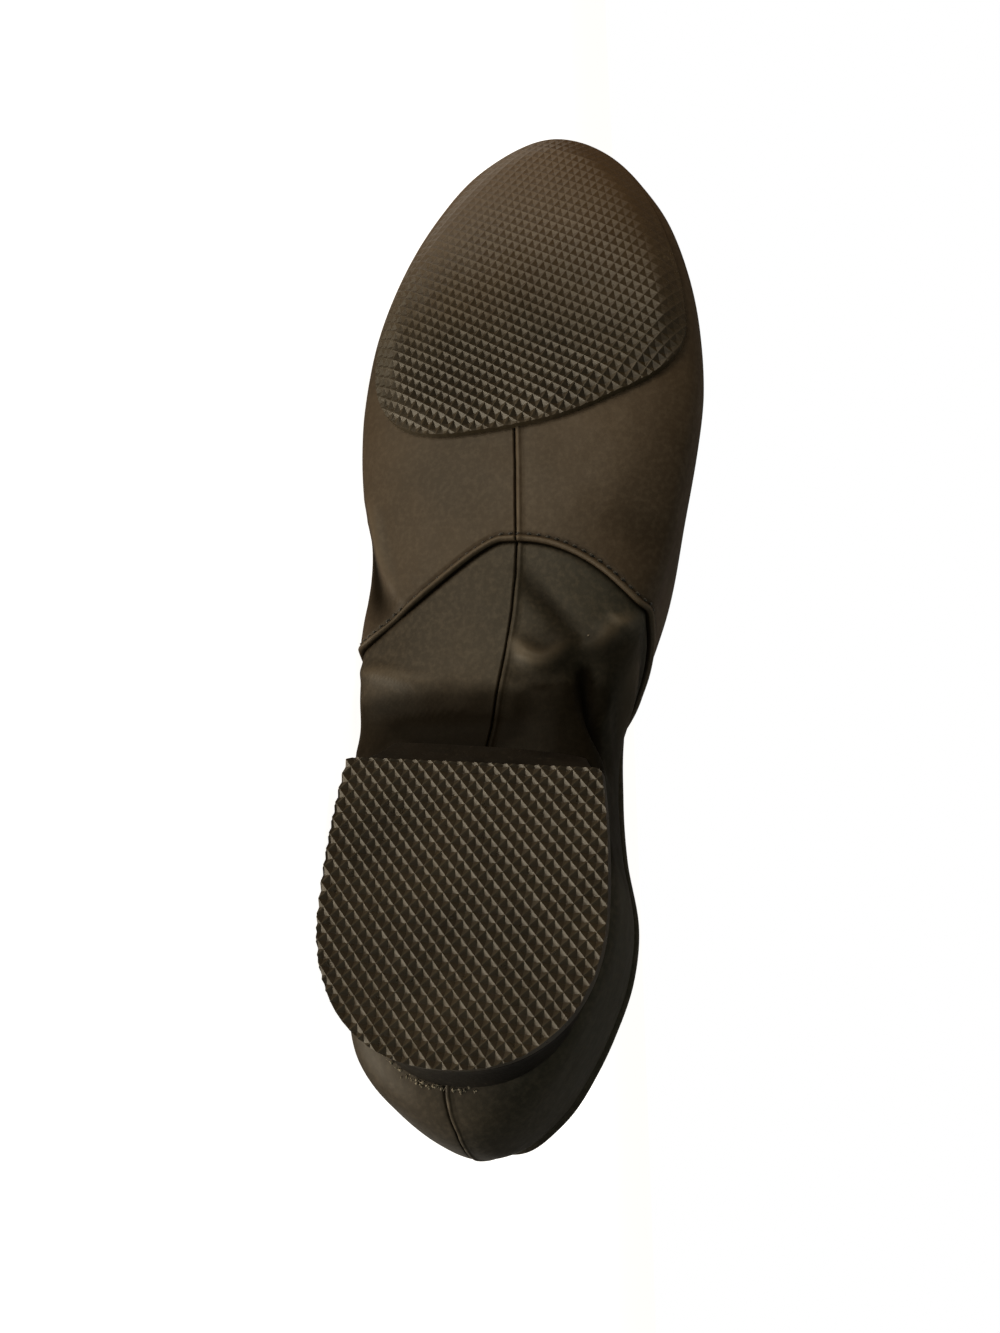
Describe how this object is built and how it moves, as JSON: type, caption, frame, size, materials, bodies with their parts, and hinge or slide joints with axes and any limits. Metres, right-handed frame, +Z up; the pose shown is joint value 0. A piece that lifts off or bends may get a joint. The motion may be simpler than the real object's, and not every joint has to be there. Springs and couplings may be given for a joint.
{
  "type": "split-sole jazz shoe",
  "caption": "Soft black leather split-sole dance shoe for the right foot, with ridged rubber forefoot patch and low ridged heel, lying on its outer side.",
  "frame": {"origin": "centre of the bounding box, on the floor that the shoe lies on", "axes": "+Z up from the floor, the sole faces about -Y, the heel is at +X and the toe at -X, and the shoe's inner side is up"},
  "size_m": [0.2546, 0.0746, 0.083],
  "materials": {
    "upper_leather": "soft satin, worn",
    "tread_rubber": "matte, ridged in small pyramids",
    "heel_rubber": "matte",
    "insole_cloth": "matte"
  },
  "bodies": {
    "root": {"upper": "upper_leather", "forefoot_sole": "tread_rubber", "heel_block": "heel_rubber", "heel_lift": "tread_rubber", "insole": "insole_cloth"}
  },
  "joints": []
}
